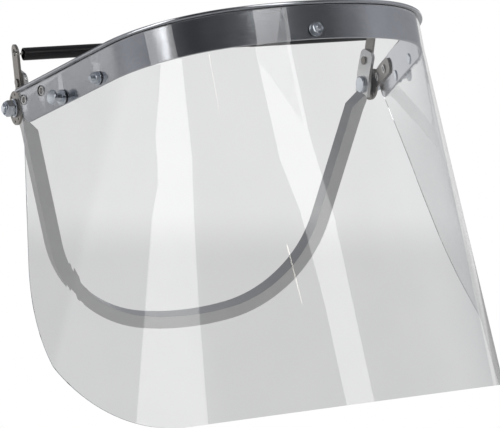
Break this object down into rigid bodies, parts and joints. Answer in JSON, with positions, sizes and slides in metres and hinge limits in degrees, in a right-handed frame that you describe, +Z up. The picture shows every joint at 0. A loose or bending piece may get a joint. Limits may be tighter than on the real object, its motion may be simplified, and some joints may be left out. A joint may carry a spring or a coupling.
{
  "type": "face shield",
  "caption": "Clear wrap-round face shield on a metal carrier band that swings on a sprung bow gripping a safety helmet's brim.",
  "frame": {"origin": "midway between the two pivots, on the pivot axis", "axes": "+X along the pivot axis to the wearer's left, -Y the way the wearer faces, +Z up; at rest the visor is swung up and the bow hangs down"},
  "size_m": [0.2524, 0.2461, 0.2027],
  "materials": {
    "clear_sheet": "clear polished polycarbonate",
    "band_metal": "bright rolled",
    "bow_metal": "satin",
    "lever_steel": "satin",
    "plate_steel": "satin, stamped",
    "zinc_steel": "bright zinc plate",
    "rivet_metal": "bright",
    "spring_wire": "drawn wire",
    "black_sleeve": "smooth vinyl tube",
    "friction_fibre": "matt",
    "nylon": "matt"
  },
  "bodies": {
    "bracket": {"brim_bow": "bow_metal", "right_lever": "lever_steel", "left_lever": "lever_steel", "right_lever_rivet": "lever_steel", "left_lever_rivet": "lever_steel", "right_pivot_bolt": "zinc_steel", "left_pivot_bolt": "zinc_steel", "right_pivot_nut": "zinc_steel", "left_pivot_nut": "zinc_steel", "right_nut_insert": "nylon", "left_nut_insert": "nylon", "right_pivot_washer": "zinc_steel", "left_pivot_washer": "zinc_steel", "right_friction_washer": "friction_fibre", "left_friction_washer": "friction_fibre", "spring_sleeve": "black_sleeve", "tension_spring": "spring_wire"},
    "visor": {"visor_sheet": "clear_sheet", "carrier_band": "band_metal", "right_hinge_plate": "plate_steel", "left_hinge_plate": "plate_steel", "right_hinge_rivets": "rivet_metal", "left_hinge_rivets": "rivet_metal", "right_stud": "zinc_steel", "left_stud": "zinc_steel", "right_visor_screw": "zinc_steel", "left_visor_screw": "zinc_steel", "front_visor_screw": "zinc_steel", "right_visor_nut": "zinc_steel", "left_visor_nut": "zinc_steel", "front_visor_nut": "zinc_steel", "right_visor_washer": "zinc_steel", "left_visor_washer": "zinc_steel", "front_visor_washer": "zinc_steel"}
  },
  "joints": [
    {"name": "visor_lift", "type": "hinge", "parent": "bracket", "child": "visor", "pos_m": [0, 0, 0], "axis": [1, 0, 0], "range_deg": [-8, 122]}
  ]
}
